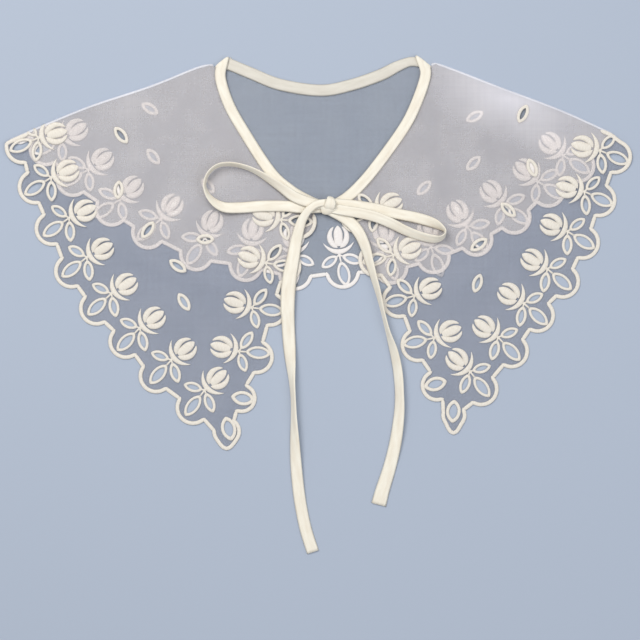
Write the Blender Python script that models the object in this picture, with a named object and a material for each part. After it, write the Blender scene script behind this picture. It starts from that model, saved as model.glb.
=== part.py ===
# A detachable organza collar, laid flat: the back underneath with its wrong side up,
# two pointed fronts folded over it at the shoulders, a bound neck tied in a bow.
# Lengths in the tables are millimetres: x to the right, y towards the neck, z up.
# The tables' zero lies near the middle, and the last step moves the collar's base to the origin.

import math

import bpy
from mathutils import Vector
from mathutils.geometry import delaunay_2d_cdt

MM = 0.001

# Cloth and tape
CLOTH = 1.0
GAP = 0.3
TAPE_WIDTH = 8.2
TAPE_THICK = 1.4
TAPE_EDGE_ROUND = 0.35
BINDING_THICK = 1.6
BINDING_END_RISE = 0.9
BINDING_TURN_STEPS = 6
BINDING_SQUARE_BY = 9.0
BINDING_LEVEL_BY = 30.0
GRID_STEP = 12.0
GRID_ROW_STEP = 10.4
GRID_CLEARANCE = 5.0
FOLD_STEP = 9.0
FOLD_TURNS = 4
FOLD_RUN_ON = 12.0  # the fold line goes on past the cloth
HOLE_MARGIN = 0.8
HEM_CLEARANCE = 32.0  # past the points where the hem's stems meet
FOLD_CLEARANCE = 10.0
DROP_LENGTH = 14.0

# One repeat of the border: a half-round scallop with a bud and three cut-out leaves
LOBE_ARC_STEPS = 6
SCALLOP_RADIUS = 13.1
SCALLOP_HALF_TURN = 78.0
LEAF_SIDE_POINTS = 3
LEAF_POINTED = 0.7
FIRST_LOBE_START = {"left": -32.0, "right": -87.5}
LAST_LOBE_END = 35.0

# Cut-outs of a repeat, measured from the point where the stems meet:
# centre distance, angle from straight out, length, width
MOTIF_HOLES = {
    "big leaf": (14.6, 10.0, 14.0, 6.2),
    "near leaf": (9.0, -58.0, 9.8, 4.1),
    "far leaf": (10.1, 69.0, 10.6, 4.2),
}

# Borders: outside (1 to the right of the border's direction), how many repeats' leaves lean back,
# and per repeat the point where the stems meet, the heading straight out and the scallop's middle
BORDERS = {
    "left outer": (
        1,
        0,
        [
            (-210.8, 87.0, 194.0, -223.1, 80.2),
            (-201.4, 57.2, 202.4, -213.6, 50.1),
            (-188.0, 26.9, 204.4, -200.9, 19.0),
            (-174.8, -2.5, 208.0, -186.3, -12.9),
            (-156.4, -29.8, 212.0, -167.6, -40.7),
            (-135.2, -55.6, 215.0, -145.6, -65.7),
            (-111.5, -79.5, 218.0, -122.9, -91.5),
            (-86.5, -102.2, 222.5, -95.2, -115.2),
        ],
    ),
    "left inner": (
        1,
        0,
        [
            (-60.8, -73.0, -14.0, -47.7, -77.2),
            (-51.0, -40.3, -17.0, -37.3, -41.6),
            (-40.5, -6.8, -19.0, -27.1, -9.4),
            (-29.2, 25.5, -14.0, -15.7, 24.1),
        ],
    ),
    "right outer": (
        -1,
        0,
        [
            (209.6, 77.5, -13.0, 220.7, 72.8),
            (198.0, 46.7, -14.5, 209.2, 40.5),
            (185.6, 16.9, -22.0, 196.9, 8.6),
            (170.4, -11.2, -30.5, 181.9, -20.6),
            (152.8, -37.0, -32.0, 163.1, -46.1),
            (133.5, -62.5, -36.5, 143.6, -72.8),
            (112.5, -88.1, -42.5, 120.8, -101.2),
        ],
    ),
    "right inner": (
        -1,
        0,
        [
            (85.5, -63.0, 202.0, 73.5, -68.2),
            (70.6, -31.5, 204.5, 59.1, -35.2),
            (55.1, -1.0, 203.0, 41.9, -4.5),
            (41.2, 32.2, 204.0, 28.1, 28.5),
        ],
    ),
    "hem": (
        1,
        7,
        [
            (-193.5, 85.5, 214.0, -205.3, 78.7),
            (-173.6, 63.0, 217.0, -185.1, 55.6),
            (-150.0, 40.9, 224.0, -156.0, 33.4),
            (-119.2, 26.2, 231.0, -128.6, 16.3),
            (-86.2, 12.0, 246.0, -92.7, -0.1),
            (-52.5, 5.2, 261.0, -55.6, -8.1),
            (-18.8, -0.8, 275.0, -18.5, -14.4),
            (14.5, -0.8, 273.5, 17.0, -13.1),
            (49.5, 3.0, 278.0, 53.3, -10.1),
            (83.2, 5.2, 280.0, 85.0, -2.2),
            (110.0, 20.5, 301.0, 117.0, 10.9),
            (137.2, 37.1, 313.0, 145.5, 27.4),
            (163.1, 54.4, 319.0, 171.0, 47.6),
            (182.2, 73.9, 317.0, 193.4, 66.0),
        ],
    ),
}

# Lobes at the points of the fronts: x, y, radius, heading out, start and end angle, sharpness
POINT_LOBES = {
    "left point": (-70.0, -133.0, 10.8, -90.0, -90.0, 140.0, 0.33),
    "left lone leaf": (-58.7, -108.2, 11.2, -5.0, -100.0, 68.0, 0.0),
    "right point": (100.4, -121.0, 9.45, -92.0, -115.0, 100.0, 0.55),
    "right lone leaf": (87.6, -98.6, 12.1, 185.0, -100.0, 63.0, 0.0),
}

# Single leaf holes: x, y, angle, length, width
FRONT_LEFT_HOLES = [
    (-68.5, -131.0, -76.0, 12.5, 7.0),
    (-57.8, -108.2, -9.0, 12.0, 6.4),
    (-149.0, 89.0, -52.0, 10.0, 3.6),
    (-151.0, 48.0, 85.0, 9.0, 3.4),
    (-129.0, 18.0, 54.0, 10.0, 3.6),
    (-106.5, -9.0, -35.0, 10.0, 3.6),
    (-102.0, -36.0, -58.0, 10.0, 3.6),
    (-86.0, 11.0, 0.0, 8.6, 3.4),
]
FRONT_RIGHT_HOLES = [
    (100.0, -118.0, 85.0, 11.6, 6.6),
    (86.5, -97.5, 15.0, 11.8, 6.4),
    (152.0, 105.0, 65.0, 9.6, 3.4),
    (159.0, 64.5, -68.0, 9.6, 3.4),
    (141.0, 33.0, -43.0, 9.6, 3.4),
    (119.0, 7.0, 35.0, 10.0, 3.6),
    (118.0, -22.0, 72.0, 9.6, 3.4),
]
BACK_HOLES = [
    (-127.5, 109.0, -32.0, 9.6, 3.4),
    (-125.0, 73.0, -51.0, 9.6, 3.4),
    (-84.0, 51.0, -50.0, 9.0, 3.4),
    (78.0, 49.5, 45.0, 9.6, 3.4),
    (116.0, 103.0, 28.0, 9.6, 3.4),
    (115.0, 68.0, 45.0, 9.6, 3.4),
]

# Shoulder folds, from the neck outwards, and the back's edge round the end of the left one
LEFT_FOLD = [(-80.7, 141.8), (-92, 139.5), (-127, 125.5), (-172, 110.5), (-210, 95), (-232, 85.5)]
RIGHT_FOLD = [(85.0, 142.3), (92, 141), (135, 124.5), (180, 107.5), (219, 90)]
LEFT_FOLD_END = [(-230.8, 85.4), (-229, 82.8), (-224, 82.2), (-219.5, 84.3)]

# Neck binding, centre lines from the shoulder fold to the knot, and across the back
LEFT_NECK = [
    (-75, 144.2),
    (-74.6, 132),
    (-69, 113.6),
    (-59, 95),
    (-37.5, 62),
    (-22.5, 48),
    (-9, 40),
    (-1, 36.5),
]
RIGHT_NECK = [
    (79, 144.4),
    (79, 133.5),
    (72, 112.5),
    (62.2, 93.4),
    (41.3, 64.5),
    (28.8, 50),
    (19.9, 42),
    (14, 38.2),
]
BACK_NECK = [
    (-74.1, 143.9),
    (-69, 143),
    (-52.5, 135.8),
    (-30, 127),
    (0, 122.6),
    (22.5, 126.4),
    (45, 134),
    (71, 144.8),
    (78.1, 144.1),
]
BACK_CORNERS = [(-80.8, 140.7), (85, 140.9)]
BACK_NECK_SPAN = (-72.0, 75.0)
FRONT_NECK_LOWEST = 35.5
FRONT_NECK_BELOW_FOLD = 3.0

# The binding folds at the shoulders along these directions, and its ends there are this much wider
LEFT_CORNER_FOLD = (0.84, 0.545)
RIGHT_CORNER_FOLD = (-0.85, 0.53)
CORNER_WIDER = 1.19

# Tape of the bow: x, y, height of what it lies on, tilt from flat, width
LEFT_LOOP = [
    (-3.2, 34.5, 3.3, 0, 8.2),
    (-15, 34.5, 3.2, 0, 8.4),
    (-26, 35.6, 2.7, 0, 8.4),
    (-43.5, 35.6, 2.6, 0, 8.4),
    (-60, 34.5, 2.6, 5, 8.4),
    (-72, 35, 2.6, 22, 8.4),
    (-81, 40.5, 2.6, 52, 8.2),
    (-86, 49.5, 2.7, 78, 8.2),
    (-84, 59, 2.8, 80, 8.2),
    (-76.5, 65.6, 2.8, 74, 8.2),
    (-66, 66.8, 2.7, 71, 8.2),
    (-54, 64, 2.7, 68, 8.2),
    (-43.5, 58.5, 3.0, 56, 8.2),
    (-31.5, 49.5, 3.6, 36, 8.2),
    (-18.8, 41.3, 5.0, 10, 8.2),
    (-4.6, 37.4, 5.2, 0, 7.8),
]
RIGHT_LOOP = [
    (13.8, 37.4, 3.3, 0, 7.8),
    (26.3, 36, 3.2, 0, 8.2),
    (41.3, 33.8, 2.7, 0, 8.2),
    (56.3, 30.2, 2.6, 0, 8.2),
    (71.3, 27.2, 2.6, 4, 8.2),
    (83.3, 23.6, 2.6, 28, 8.2),
    (90, 20.2, 2.6, 58, 8.2),
    (93.6, 16.4, 2.6, 88, 8.2),
    (91.6, 12.4, 2.6, 112, 8.2),
    (85.5, 10.9, 2.6, 132, 8.2),
    (75, 13.2, 2.6, 140, 8.2),
    (63.8, 17.4, 3.2, 148, 8.2),
    (52.5, 23.0, 4.4, 158, 8.2),
    (41.3, 27.6, 4.8, 166, 8.2),
    (28.5, 30.6, 5.0, 174, 8.0),
    (13.8, 33.0, 5.2, 180, 7.6),
]
LEFT_TAIL = [
    (-1.2, 38.5, 7.3, 0, 8.0),
    (-6, 37.0, 7.3, 0, 7.0),
    (-11, 31.6, 7.0, 0, 6.6),
    (-14.8, 22.6, 4.0, 0, 7.0),
    (-17.6, 10.5, 2.7, 0, 7.9),
    (-20.2, -4, 2.6, 0, 8.9),
    (-22.5, -16, 2.6, 0, 9.8),
    (-23.8, -28, 2.6, 0, 10.2),
    (-24.2, -40, 2.6, 0, 10.2),
    (-23.9, -50, 1.8, 0, 10.0),
    (-23.4, -60, 0.6, 4, 9.8),
    (-22.9, -69, 0.05, 12, 9.6),
    (-22.2, -79, 0.05, 28, 9.2),
    (-21.0, -94.5, 0.05, 56, 9.0),
    (-20.0, -109.5, 0.05, 64, 9.0),
    (-19.5, -124.5, 0.05, 56, 9.0),
    (-18.8, -143, 0.05, 34, 9.0),
    (-17.6, -162, 0.05, 14, 9.0),
    (-15, -184.5, 0.05, 2, 9.0),
    (-10.9, -205.5, 0.05, 0, 9.1),
    (-5.3, -223.5, 0.05, 0, 9.3),
]
RIGHT_TAIL = [
    (12.6, 29, 2.6, 0, 8.2),
    (18.0, 26.6, 2.6, 0, 8.6),
    (24.0, 21.8, 2.6, 4, 8.8),
    (29.6, 14.8, 2.6, 16, 8.8),
    (34.0, 4.6, 2.6, 32, 8.8),
    (36.6, -5.0, 2.6, 44, 8.8),
    (39.8, -16.5, 2.6, 54, 8.8),
    (43.3, -28.5, 2.0, 62, 8.8),
    (46.8, -42.8, 1.3, 72, 8.8),
    (50.6, -57.8, 1.3, 68, 8.8),
    (55.2, -72.8, 0.6, 46, 8.8),
    (58.2, -88, 0.05, 38, 8.8),
    (59.4, -104, 0.05, 40, 8.8),
    (59.2, -120, 0.05, 30, 9.0),
    (56.6, -141, 0.05, 10, 9.2),
    (52.2, -160, 0.05, 0, 9.8),
    (47.2, -176, 0.05, 0, 10.6),
    (44.0, -188, 0.05, 0, 11.4),
]

# Knot: centre, half sizes, rings and sides
KNOT_CENTRE = (6.2, 35.2, 5.0)
KNOT_HALF = (6.9, 6.4, 3.6)
KNOT_RINGS = 9
KNOT_SIDES = 16
KNOT_WAIST = 0.10

# Colours as linear red, green, blue
ORGANZA_COLOUR = (0.80, 0.81, 0.84, 1.0)
TAPE_COLOUR = (0.90, 0.87, 0.80, 1.0)


def clear_scene():
    for thing in list(bpy.data.objects):
        bpy.data.objects.remove(thing, do_unlink=True)


def smooth_line(points, step):
    # A Catmull-Rom curve through the points, read again at even steps along its length.
    rows = [Vector(p) for p in points]
    rows = [rows[0] * 2 - rows[1]] + rows + [rows[-1] * 2 - rows[-2]]
    dense = []
    for a, b, c, d in zip(rows, rows[1:], rows[2:], rows[3:]):
        for k in range(24):
            u = k / 24
            square = (2 * a - 5 * b + 4 * c - d) * u**2
            cube = (3 * b - a - 3 * c + d) * u**3
            dense.append(0.5 * (2 * b + (c - a) * u + square + cube))
    dense.append(rows[-2])
    return even_points(dense, step)


def even_points(line, step):
    # Points at even steps along a line, ends kept.
    reach = [0.0]
    for a, b in zip(line, line[1:]):
        reach.append(reach[-1] + (b - a).length)
    number = max(2, round(reach[-1] / step))
    result = []
    segment = 0
    for k in range(number + 1):
        goal = reach[-1] * k / number
        while segment < len(line) - 2 and reach[segment + 1] < goal:
            segment += 1
        span = max(reach[segment + 1] - reach[segment], 1e-9)
        result.append(line[segment].lerp(line[segment + 1], (goal - reach[segment]) / span))
    return result


def direction_at(line, k):
    return (line[min(k + 1, len(line) - 1)] - line[max(k - 1, 0)]).normalized()


def turned(vector, degrees):
    c = math.cos(math.radians(degrees))
    s = math.sin(math.radians(degrees))
    return Vector((vector.x * c - vector.y * s, vector.x * s + vector.y * c))


def nearest_on(line, point):
    # Closest point of a line, its direction there, and the distance with a plus on the left.
    best = None
    for a, b in zip(line, line[1:]):
        run = b - a
        u = min(1.0, max(0.0, (point - a).dot(run) / run.length_squared))
        foot = a + run * u
        away = (point - foot).length
        if best is None or away < best[2]:
            best = (foot, run.normalized(), away)
    foot, along, away = best
    side = along.x * (point - foot).y - along.y * (point - foot).x
    return foot, along, math.copysign(away, side)


def border_repeats(name):
    # Each repeat's stem crossing, outward direction and hand of its leaves,
    # and its scallop's middle, outward direction and direction along the border.
    outside, lean_back, rows = BORDERS[name]
    middles = [Vector(row[3:]) for row in rows]
    repeats = []
    for k, row in enumerate(rows):
        hand = -outside if k < lean_back else outside
        outward = turned(Vector((1, 0)), row[2])
        along = direction_at(middles, k)
        repeats.append((Vector(row[:2]), outward, hand, middles[k], turned(along, -90 * outside), along))
    return repeats


def scallop(repeat, start=-SCALLOP_HALF_TURN, end=SCALLOP_HALF_TURN):
    # A round lobe, walked in the border's direction.
    middle, out, along = repeat[3:]
    points = []
    steps = max(2, round(LOBE_ARC_STEPS * (end - start) / 180))
    for k in range(steps + 1):
        angle = math.radians(start + (end - start) * k / steps)
        points.append(middle + (out * math.cos(angle) + along * math.sin(angle)) * SCALLOP_RADIUS)
    return points


def point_lobe(name, turn):
    x, y, radius, heading, start, end, sharp = POINT_LOBES[name]
    points = []
    steps = max(4, round(LOBE_ARC_STEPS * (end - start) / 180))
    for k in range(steps + 1):
        angle = start + (end - start) * k / steps
        reach = radius * (1 + sharp * max(0.0, math.cos(math.radians(angle))) ** 8)
        points.append(Vector((x, y)) + turned(Vector((reach, 0)), heading + turn * angle))
    return points


def leaf_loop(centre, heading, length, width):
    # A pointed oval.
    sides = []
    for sign in (1, -1):
        for k in range(LEAF_SIDE_POINTS + 1):
            s = sign * (1 - 2 * k / (LEAF_SIDE_POINTS + 1))
            half = 0.5 * width * (1 - s * s) ** LEAF_POINTED
            sides.append(centre + turned(Vector((0.5 * length * s, sign * half)), heading))
    return sides


def motif_holes(repeats):
    loops = []
    for crossing, outward, hand, *_ in repeats:
        for distance, angle, length, width in MOTIF_HOLES.values():
            way = turned(outward, angle * hand)
            heading = math.degrees(math.atan2(way.y, way.x))
            loops.append(leaf_loop(crossing + way * distance, heading, length, width))
    return loops


def single_holes(rows):
    return [leaf_loop(Vector((x, y)), angle, length, width) for x, y, angle, length, width in rows]


def offset_line(line, distance):
    # The line moved to its left by a distance.
    return [p + turned(direction_at(line, k), 90) * distance for k, p in enumerate(line)]


def inside(outline, point):
    hit = False
    for a, b in zip(outline, outline[1:] + outline[:1]):
        if (a.y > point.y) != (b.y > point.y):
            if point.x < a.x + (point.y - a.y) * (b.x - a.x) / (b.y - a.y):
                hit = not hit
    return hit


def clear_of(loops, point):
    return min(abs(nearest_on(loop + loop[:1], point)[2]) for loop in loops)


def holes_that_fit(outline, holes, fold=None):
    # Leaves out a hole that the edge or a fold would cut.
    kept = []
    for loop in holes:
        near = min(clear_of([outline], p) for p in loop)
        if fold:
            near = min([near] + [abs(nearest_on(fold, p)[2]) for p in loop])
        if near > HOLE_MARGIN and all(inside(outline, p) for p in loop):
            kept.append(loop)
    return kept


def filling_points(outline, holes):
    # A staggered grid of points between the outline and the holes.
    xs = [p.x for p in outline]
    ys = [p.y for p in outline]
    points = []
    row = 0
    y = min(ys)
    while y < max(ys):
        x = min(xs) + (GRID_STEP / 2 if row % 2 else 0)
        while x < max(xs):
            point = Vector((x, y))
            if inside(outline, point) and clear_of([outline] + holes, point) > GRID_CLEARANCE:
                points.append(point)
            x += GRID_STEP
        y += GRID_ROW_STEP
        row += 1
    return points


def sheet_object(name, outline, holes, rows, lower, upper, colour):
    # A closed wall of cloth: triangles of its cut, set out twice and joined round every edge.
    loops = [outline] + holes
    area = sum(a.x * b.y - b.x * a.y for a, b in zip(outline, outline[1:] + outline[:1]))
    if area < 0:
        loops[0] = list(reversed(outline))
    verts = []
    faces = []
    for loop in loops:
        faces.append(list(range(len(verts), len(verts) + len(loop))))
        verts.extend(loop)
    edges = []
    for row in rows:
        edges.extend((len(verts) + k, len(verts) + k + 1) for k in range(len(row) - 1))
        verts.extend(row)
    verts.extend(filling_points(outline, holes))
    points, _, triangles, _, _, sources = delaunay_2d_cdt(verts, edges, faces, 1, 1e-4)
    cut = [t for t, source in zip(triangles, sources) if source == [0] or tuple(source) == (0,)]
    used = sorted({k for t in cut for k in t})
    place = {k: n for n, k in enumerate(used)}
    top = [upper(points[k]) for k in used]
    bottom = [lower(points[k]) for k in used]
    half = len(used)
    polygons = []
    border = {}
    for triangle in cut:
        a, b, c = (place[k] for k in triangle)
        polygons.append((a, b, c))
        polygons.append((c + half, b + half, a + half))
        for edge in ((a, b), (b, c), (c, a)):
            border[edge] = True
    for a, b in list(border):
        if (b, a) not in border:
            polygons.append((b, a, a + half, b + half))
    return solid_object(name, top + bottom, polygons, colour)


def volume(points, polygons):
    # Six times the volume, with a minus where the faces point inwards.
    total = 0.0
    for polygon in polygons:
        for b, c in zip(polygon[1:], polygon[2:]):
            total += Vector(points[polygon[0]]).dot(Vector(points[b]).cross(Vector(points[c])))
    return total


def solid_object(name, points, polygons, colour):
    if volume(points, polygons) < 0:
        polygons = [tuple(reversed(polygon)) for polygon in polygons]
    mesh = bpy.data.meshes.new(name)
    mesh.from_pydata([Vector(p) * MM for p in points], [], polygons)
    mesh.validate()
    mesh.update()
    thing = bpy.data.objects.new(name, mesh)
    bpy.context.scene.collection.objects.link(thing)
    material = bpy.data.materials.new(name)
    material.use_nodes = True
    shader = material.node_tree.nodes["Principled BSDF"]
    shader.inputs["Base Color"].default_value = colour
    shader.inputs["Roughness"].default_value = 0.7
    mesh.materials.append(material)
    return thing


def fold_rows(fold, outside):
    # Lines beside a shoulder fold, spread over the cloth that turns round it.
    spread = math.pi * (CLOTH + GAP) / 2
    rows = []
    for k in range(FOLD_TURNS + 1):
        rows.append(offset_line(fold, outside * spread * k / FOLD_TURNS))
    return rows


def wrap(fold, outside, radius, floor_height):
    # Height and place of a point of a front: flat, or rolled round the shoulder fold.
    middle = (CLOTH + GAP) / 2
    axis = CLOTH + GAP / 2

    def place(point):
        point = Vector(point)
        foot, along, away = nearest_on(fold, point)
        beyond = away * outside
        if beyond <= 1e-3:
            return (point.x, point.y, floor_height(point) + axis + radius - CLOTH - GAP)
        angle = min(math.pi, beyond / middle)
        out = turned(along, 90 * outside)
        spot = foot + out * radius * math.sin(angle)
        return (spot.x, spot.y, axis + radius * math.cos(angle))

    return place


def ease(value):
    value = min(1.0, max(0.0, value))
    return value * value * (3 - 2 * value)


def front_height(fold, outside):
    # Underside of a front: over the back, then down to the surface past the hem.
    hem = smooth_line([row[:2] for row in BORDERS["hem"][2]], 4.0)

    def height(point):
        past_hem = -nearest_on(hem, point)[2]
        past_fold = -nearest_on(fold, point)[2] * outside
        past_both = min(past_hem - HEM_CLEARANCE, past_fold - FOLD_CLEARANCE)
        low = ease(past_both / DROP_LENGTH)
        return (CLOTH + GAP) * (1 - low)

    return height


def front_panel(name, side, outside, fold_points, neck_points, holes):
    fold = smooth_line(fold_points, FOLD_STEP)
    rows = fold_rows(fold, -outside)
    neck = offset_line(smooth_line(neck_points, 7.0), -outside * (TAPE_WIDTH / 2 + 1.5 * GAP))
    neck = [p for p in neck if fold[0].y - FRONT_NECK_BELOW_FOLD > p.y > FRONT_NECK_LOWEST]
    outer = border_repeats(side + " outer")
    inner = border_repeats(side + " inner")
    outline = list(rows[-1])
    outline.extend(row[-1] for row in reversed(rows[:-1]))
    outline.extend(scallop(outer[0], start=FIRST_LOBE_START[side]))
    for repeat in outer[1:]:
        outline.extend(scallop(repeat))
    outline.extend(point_lobe(side + " point", outside))
    outline.extend(point_lobe(side + " lone leaf", outside))
    for repeat in inner[:-1]:
        outline.extend(scallop(repeat))
    outline.extend(scallop(inner[-1], end=LAST_LOBE_END))
    outline.extend(reversed(neck))
    outline.extend(row[0] for row in rows[:-1])
    wanted = holes_that_fit(outline, motif_holes(outer + inner) + single_holes(holes), fold)
    fold.append(fold[-1] + direction_at(fold, len(fold) - 1) * FOLD_RUN_ON)
    height = front_height(fold, -outside)
    middle = (CLOTH + GAP) / 2
    lower = wrap(fold, -outside, middle - CLOTH / 2, height)
    upper = wrap(fold, -outside, middle + CLOTH / 2, height)
    inner_rows = [row[1:-1] for row in rows[:-1]]
    sheet_object(name, outline, wanted, inner_rows, lower, upper, ORGANZA_COLOUR)


def back_panel():
    left = smooth_line(LEFT_FOLD, FOLD_STEP)
    right = smooth_line(RIGHT_FOLD, FOLD_STEP)
    neck = offset_line(smooth_line(BACK_NECK, 8.0), -(TAPE_WIDTH / 2 + 1.5 * GAP))
    neck = [p for p in neck if BACK_NECK_SPAN[0] < p.x < BACK_NECK_SPAN[1]]
    left_edge = offset_line(left, GAP)
    right_edge = offset_line(right, -GAP)
    hem = border_repeats("hem")
    corners = [Vector(p) for p in BACK_CORNERS]
    outline = corners[:1] + left_edge[1:-1]
    outline.extend(Vector(p) for p in LEFT_FOLD_END)
    for repeat in hem:
        outline.extend(scallop(repeat))
    outline.extend(reversed(corners[1:] + right_edge[1:]))
    outline.extend(reversed(neck))
    holes = holes_that_fit(outline, motif_holes(hem) + single_holes(BACK_HOLES))
    sheet_object(
        "back_panel",
        outline,
        holes,
        [],
        lambda p: (p[0], p[1], 0.0),
        lambda p: (p[0], p[1], CLOTH),
        ORGANZA_COLOUR,
    )


def tape_object(name, centres, sides, thickness):
    # A flat tape with rounded edges; each ring has a centre and a vector to its edge.
    rings = []
    for k, centre in enumerate(centres):
        along = (centres[min(k + 1, len(centres) - 1)] - centres[max(k - 1, 0)]).normalized()
        edge = sides[k]
        up = edge.cross(along).normalized() * thickness / 2
        inset = 1 - TAPE_EDGE_ROUND * thickness / edge.length
        side = up * TAPE_EDGE_ROUND
        rings.append(
            [
                centre + edge - side,
                centre + edge + side,
                centre + edge * inset + up,
                centre - edge * inset + up,
                centre - edge + side,
                centre - edge - side,
                centre - edge * inset - up,
                centre + edge * inset - up,
            ]
        )
    count = len(rings[0])
    points = [p for ring in rings for p in ring]
    polygons = []
    for k in range(len(rings) - 1):
        for j in range(count):
            a = k * count + j
            b = k * count + (j + 1) % count
            polygons.append((a, b, b + count, a + count))
    polygons.append(tuple(reversed(range(count))))
    polygons.append(tuple(range(len(points) - count, len(points))))
    return solid_object(name, points, polygons, TAPE_COLOUR)


def tape_route(rows, step):
    # Centres and edge vectors of a tape that lies, leans or stands on its edge.
    centres = []
    for x, y, under, tilt, width in rows:
        angle = math.radians(tilt)
        rise = 0.5 * width * math.sin(angle) + 0.5 * TAPE_THICK * abs(math.cos(angle))
        centres.append((x, y, under + rise, tilt / 10, width))
    line = smooth_line([Vector(c) for c in centres], step)
    places = [Vector(p[:3]) for p in line]
    edges = []
    for k, p in enumerate(line):
        along = direction_at(places, k)
        level = Vector((-along.y, along.x, 0)).normalized()
        angle = math.radians(max(0.0, p[3] * 10))
        edge = level * math.cos(angle) + Vector((0, 0, 1)) * math.sin(angle)
        edge = (edge - along * edge.dot(along)).normalized()
        edges.append(edge * p[4] / 2)
    return places, edges


def bow_tape(name, rows, step):
    centres, edges = tape_route(rows, step)
    tape_object(name, centres, edges, TAPE_THICK)


def front_binding(name, neck_points, fold_way, outside):
    # Down one side of the neck; at the shoulder it turns over and under.
    line = smooth_line(neck_points, 7.0)
    way = Vector(fold_way)
    out = turned(way, 90 * outside).normalized()
    low = CLOTH + GAP + BINDING_THICK / 2
    high = low + BINDING_END_RISE
    turn = (high - BINDING_THICK / 2) / 2
    axis = high - turn
    centres = []
    sides = []
    for k in range(BINDING_TURN_STEPS, 0, -1):
        angle = math.pi * k / BINDING_TURN_STEPS
        spot = line[0] + out * turn * math.sin(angle)
        centres.append(Vector((spot.x, spot.y, axis + turn * math.cos(angle))))
        sides.append(way.to_3d())
    for k, p in enumerate(line):
        away = (p - line[0]).length
        square = turned(direction_at(line, k), 90 * outside)
        blend = ease(away / BINDING_SQUARE_BY)
        side = way.lerp(square, blend).normalized()
        centres.append(Vector((p.x, p.y, high + (low - high) * ease(away / BINDING_LEVEL_BY))))
        sides.append(side.to_3d())
    edges = []
    for k, side in enumerate(sides):
        along = (centres[min(k + 1, len(centres) - 1)] - centres[max(k - 1, 0)]).normalized()
        wider = CORNER_WIDER
        if k >= BINDING_TURN_STEPS:
            wider = 1 / math.sqrt(1 - side.dot(along) ** 2)
        edges.append(side * TAPE_WIDTH / 2 * wider)
    tape_object(name, centres, edges, BINDING_THICK)


def back_binding():
    # Across the back of the neck, its slanted ends under the shoulder folds.
    line = smooth_line(BACK_NECK, 8.0)
    ends = {0: LEFT_CORNER_FOLD, len(line) - 1: RIGHT_CORNER_FOLD}
    centres = []
    edges = []
    for k, p in enumerate(line):
        along = direction_at(line, k)
        side = turned(along, 90)
        width = TAPE_WIDTH / 2
        if k in ends:
            slanted = Vector(ends[k]).normalized()
            if slanted.dot(side) < 0:
                slanted = -slanted
            side = slanted
            width = width * CORNER_WIDER
        centres.append(Vector((p.x, p.y, BINDING_THICK / 2)))
        edges.append(side.to_3d() * width)
    tape_object("binding_back", centres, edges, BINDING_THICK)


def bow_knot():
    # A rounded lump with a waist where the tape is drawn tight.
    cx, cy, cz = KNOT_CENTRE
    points = [Vector((cx, cy, cz - KNOT_HALF[2]))]
    for ring in range(1, KNOT_RINGS):
        polar = math.pi * ring / KNOT_RINGS
        for side in range(KNOT_SIDES):
            turn = 2 * math.pi * side / KNOT_SIDES
            pinch = 1 - KNOT_WAIST * (0.5 + 0.5 * math.cos(2 * turn + math.pi))
            points.append(
                Vector(
                    (
                        cx + KNOT_HALF[0] * pinch * math.sin(polar) * math.cos(turn),
                        cy + KNOT_HALF[1] * pinch * math.sin(polar) * math.sin(turn),
                        cz - KNOT_HALF[2] * math.cos(polar),
                    )
                )
            )
    points.append(Vector((cx, cy, cz + KNOT_HALF[2])))
    polygons = []
    last = len(points) - 1
    for side in range(KNOT_SIDES):
        after = (side + 1) % KNOT_SIDES
        polygons.append((0, 1 + after, 1 + side))
        for ring in range(KNOT_RINGS - 2):
            a = 1 + ring * KNOT_SIDES
            polygons.append((a + side, a + after, a + KNOT_SIDES + after, a + KNOT_SIDES + side))
        base = last - KNOT_SIDES
        polygons.append((base + side, base + after, last))
    solid_object("bow_knot", points, polygons, TAPE_COLOUR)


def centre_on_base():
    # Moves every mesh so that the collar without its loose ends is centred on the origin.
    low = Vector((1e9, 1e9))
    high = Vector((-1e9, -1e9))
    for thing in bpy.data.objects:
        if "tail" in thing.name:
            continue
        for v in thing.data.vertices:
            low = Vector((min(low.x, v.co.x), min(low.y, v.co.y)))
            high = Vector((max(high.x, v.co.x), max(high.y, v.co.y)))
    middle = (low + high) / 2
    for thing in bpy.data.objects:
        for v in thing.data.vertices:
            v.co.x -= middle.x
            v.co.y -= middle.y


def main():
    clear_scene()
    back_panel()
    front_panel("front_left", "left", 1, LEFT_FOLD, LEFT_NECK, FRONT_LEFT_HOLES)
    front_panel("front_right", "right", -1, RIGHT_FOLD, RIGHT_NECK, FRONT_RIGHT_HOLES)
    back_binding()
    front_binding("binding_left", LEFT_NECK, LEFT_CORNER_FOLD, 1)
    front_binding("binding_right", RIGHT_NECK, RIGHT_CORNER_FOLD, -1)
    bow_knot()
    bow_tape("bow_loop_left", LEFT_LOOP, 5.0)
    bow_tape("bow_loop_right", RIGHT_LOOP, 5.0)
    bow_tape("bow_tail_left", LEFT_TAIL, 9.0)
    bow_tape("bow_tail_right", RIGHT_TAIL, 9.0)
    centre_on_base()


main()
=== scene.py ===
# A sheer embroidered collar, laid flat and tied at the neck with its own bias tape.
# The drawing's tables are in millimetres: x to the right, y towards the neck.
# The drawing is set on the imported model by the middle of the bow's knot.

import math

import bpy
import numpy as np
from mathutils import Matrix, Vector
from mathutils.geometry import delaunay_2d_cdt
from mathutils.kdtree import KDTree


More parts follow.
